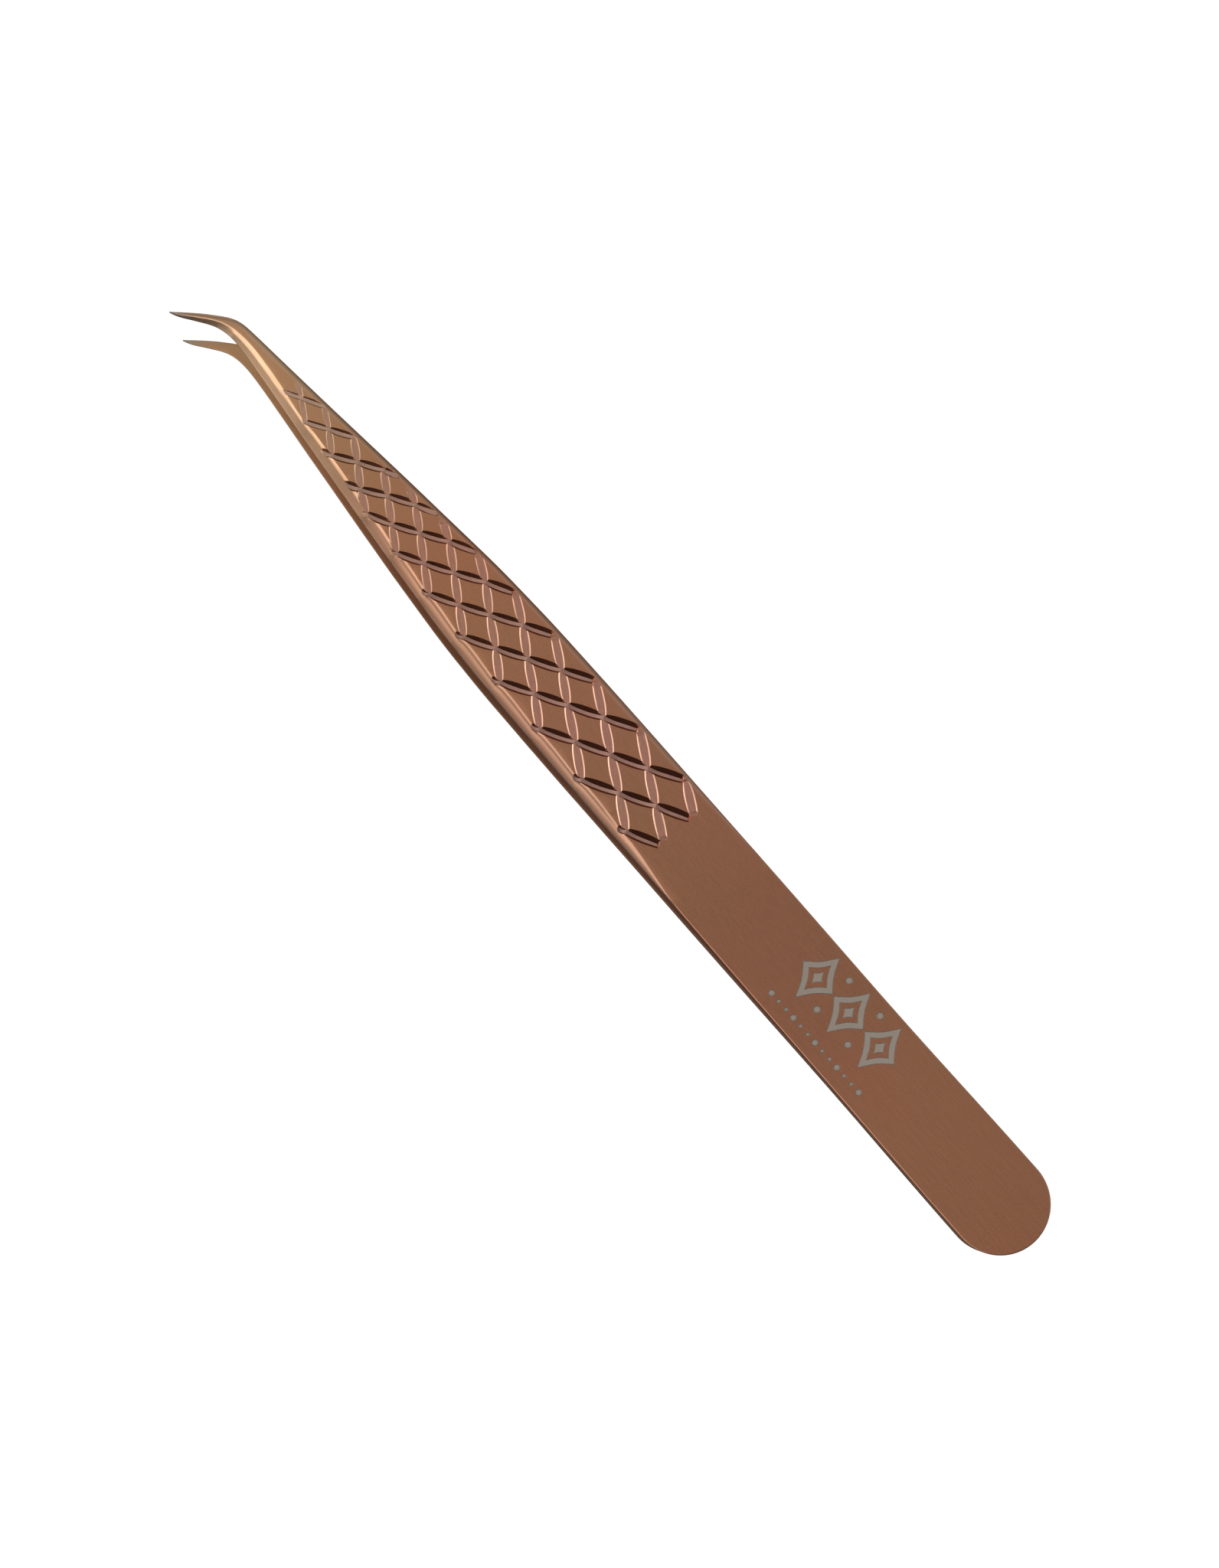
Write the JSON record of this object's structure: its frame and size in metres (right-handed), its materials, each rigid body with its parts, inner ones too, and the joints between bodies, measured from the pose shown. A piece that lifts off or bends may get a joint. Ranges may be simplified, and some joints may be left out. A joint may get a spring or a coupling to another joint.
{
  "type": "curved-tip tweezers",
  "caption": "Fine-pointed spring tweezers: two tapered blades welded to a tail spacer, with bent needle prongs and a crossed-groove finger grip.",
  "frame": {"origin": "on the lower blade's flat outer tail face, on the centre line, 10 mm in from the tail end", "axes": "+X along the blades from the tail to the prongs, +Y towards the side the prongs bend to, +Z out of the upper blade, the way the blades open"},
  "size_m": [0.12, 0.0096, 0.0102],
  "materials": {
    "coated_steel": "satin copper-toned vapour coating over ground stainless steel",
    "weld_metal": "bare fused stainless steel, hidden between the blades"
  },
  "bodies": {
    "tail": {"upper_blade_root": "coated_steel", "lower_blade_root": "coated_steel", "tail_spacer": "coated_steel", "spot_welds": "weld_metal"},
    "upper_arm": {"upper_blade_arm": "coated_steel"},
    "lower_arm": {"lower_blade_arm": "coated_steel"}
  },
  "joints": [
    {"name": "upper_squeeze", "type": "hinge", "parent": "tail", "child": "upper_arm", "pos_m": [0.016, 0, 0.00278], "axis": [0, 1, 0], "range_deg": [0, 2.93], "stiffness_Nm_per_rad": 0.4},
    {"name": "lower_squeeze", "type": "hinge", "parent": "tail", "child": "lower_arm", "pos_m": [0.016, 0, 0.00043], "axis": [0, 1, 0], "range_deg": [-2.93, 0], "stiffness_Nm_per_rad": 0.4}
  ],
  "couplings": [
    {"joint": "lower_squeeze", "follows": "upper_squeeze", "ratio": -1}
  ]
}
